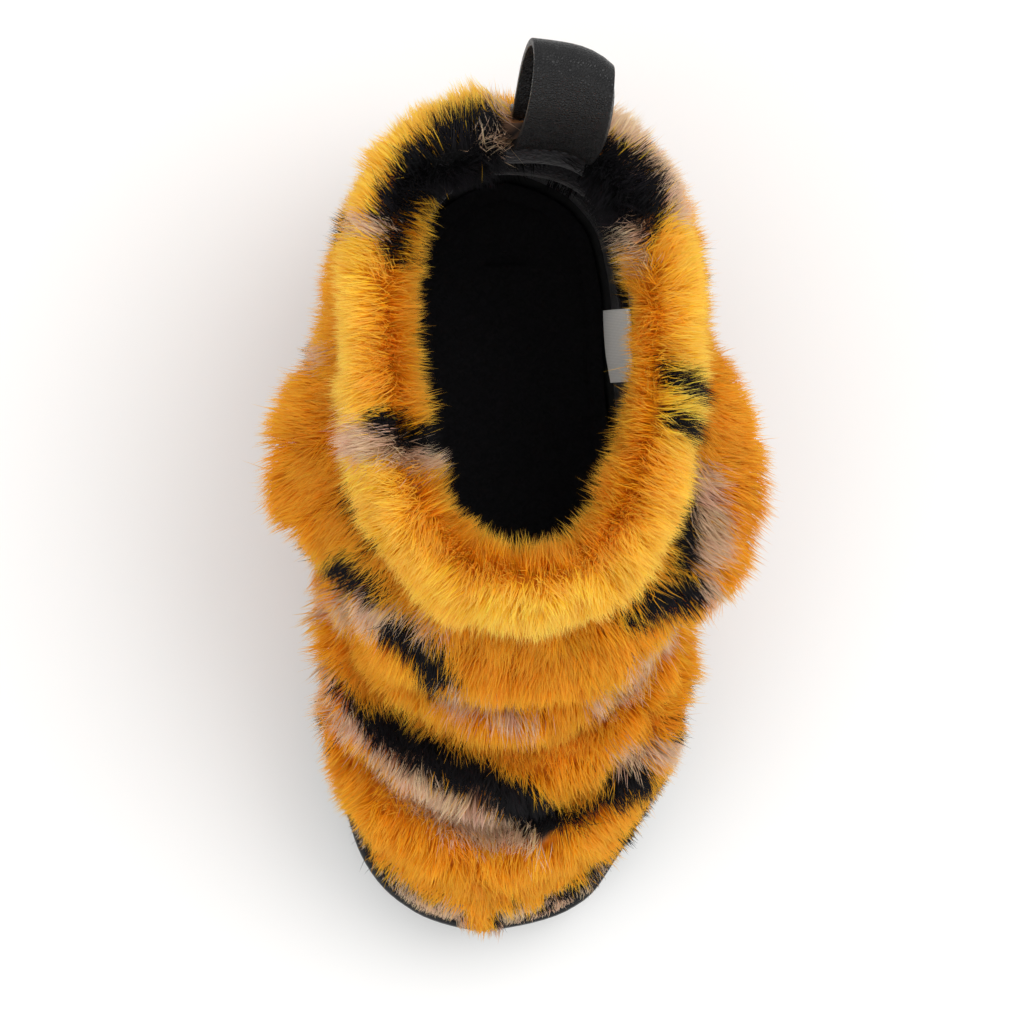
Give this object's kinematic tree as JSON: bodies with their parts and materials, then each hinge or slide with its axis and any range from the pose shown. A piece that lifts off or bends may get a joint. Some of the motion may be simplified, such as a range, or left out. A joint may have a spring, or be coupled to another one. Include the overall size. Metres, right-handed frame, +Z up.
{
  "type": "child's faux fur boot",
  "caption": "Child's slouch ankle boot in long-pile faux fur with a tiger pattern, a low black rubber sole, a turned collar and a leather pull loop at the heel; left foot.",
  "frame": {"origin": "on the floor under the middle of the heel", "axes": "+Z up, toe along -Y, heel along +Y, outer side of the foot along +X"},
  "size_m": [0.1138, 0.2024, 0.1651],
  "materials": {
    "sole_rubber": "matt moulded black rubber",
    "insole_felt": "black brushed felt",
    "faux_fur": "long soft pile, golden orange with black and beige tiger stripes",
    "loop_leather": "smooth black leather with a low sheen",
    "label_tape": "white woven tape, blank"
  },
  "bodies": {
    "root": {"outsole": "sole_rubber", "insole": "insole_felt", "upper": "faux_fur", "pull_loop": "loop_leather", "label": "label_tape"}
  },
  "joints": []
}
